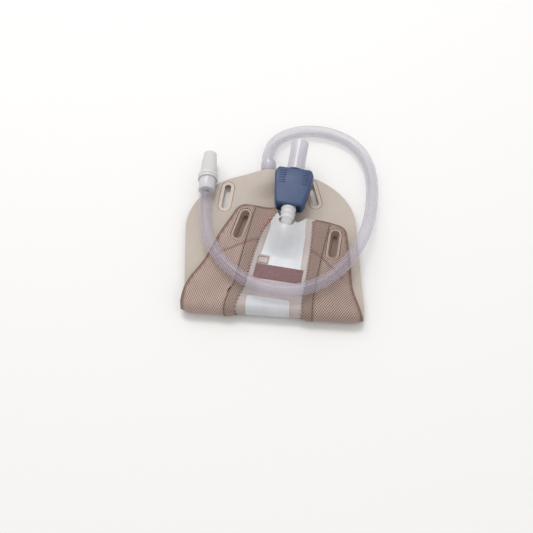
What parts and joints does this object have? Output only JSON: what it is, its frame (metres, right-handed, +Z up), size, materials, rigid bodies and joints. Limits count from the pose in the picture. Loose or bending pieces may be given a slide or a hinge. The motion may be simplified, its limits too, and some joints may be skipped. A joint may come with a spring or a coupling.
{
  "type": "urine drainage leg bag",
  "caption": "Empty leg bag for urine with mesh fabric front panels and fleece back, folded once across, with a sliding drain valve and a looped inlet tube with a capped connector.",
  "frame": {"origin": "middle of the folded bag's footprint on the table, measured without the tube and its end pieces", "axes": "+Z up; +X along the fold; +Y from the fold toward the drain valve and the inlet edge"},
  "size_m": [0.1232, 0.1468, 0.024],
  "materials": {
    "taupe_mesh": "soft open mesh fabric",
    "beige_fleece": "soft fleece",
    "clear_film": "clear soft film",
    "rim": "welded soft plastic",
    "white_plastic": "moulded satin",
    "clear_plastic": "clear soft moulding",
    "tube_plastic": "clear tubing with a lilac tint",
    "blue_plastic": "moulded satin",
    "seal_rubber": "matte",
    "cap_plastic": "moulded satin"
  },
  "bodies": {
    "bag": {"back_fleece": "beige_fleece", "back_film": "clear_film", "front_film": "clear_film", "fabric_left": "taupe_mesh", "fabric_right": "taupe_mesh", "slot_rim_drain_left": "rim", "slot_rim_drain_right": "rim", "slot_rim_inlet_left": "rim", "slot_rim_inlet_right": "rim", "outlet_stem": "white_plastic", "stem_seal_inner": "seal_rubber", "stem_seal_outer": "seal_rubber", "inlet_port": "clear_plastic", "flutter_valve_front": "clear_film", "flutter_valve_back": "clear_film", "inlet_tube": "tube_plastic", "tube_connector": "white_plastic"},
    "drain": {"drain_sleeve": "blue_plastic", "outlet_hose": "tube_plastic"},
    "cap": {"connector_cap": "cap_plastic"}
  },
  "joints": [
    {"name": "drain_slide", "type": "slide", "parent": "bag", "child": "drain", "axis": [0.095, 0.9924, 0.0785], "range_m": [0, 0.005]},
    {"name": "cap_pull", "type": "slide", "parent": "bag", "child": "cap", "axis": [-0.0288, 0.9958, -0.0872], "range_m": [0, 0.022]}
  ]
}
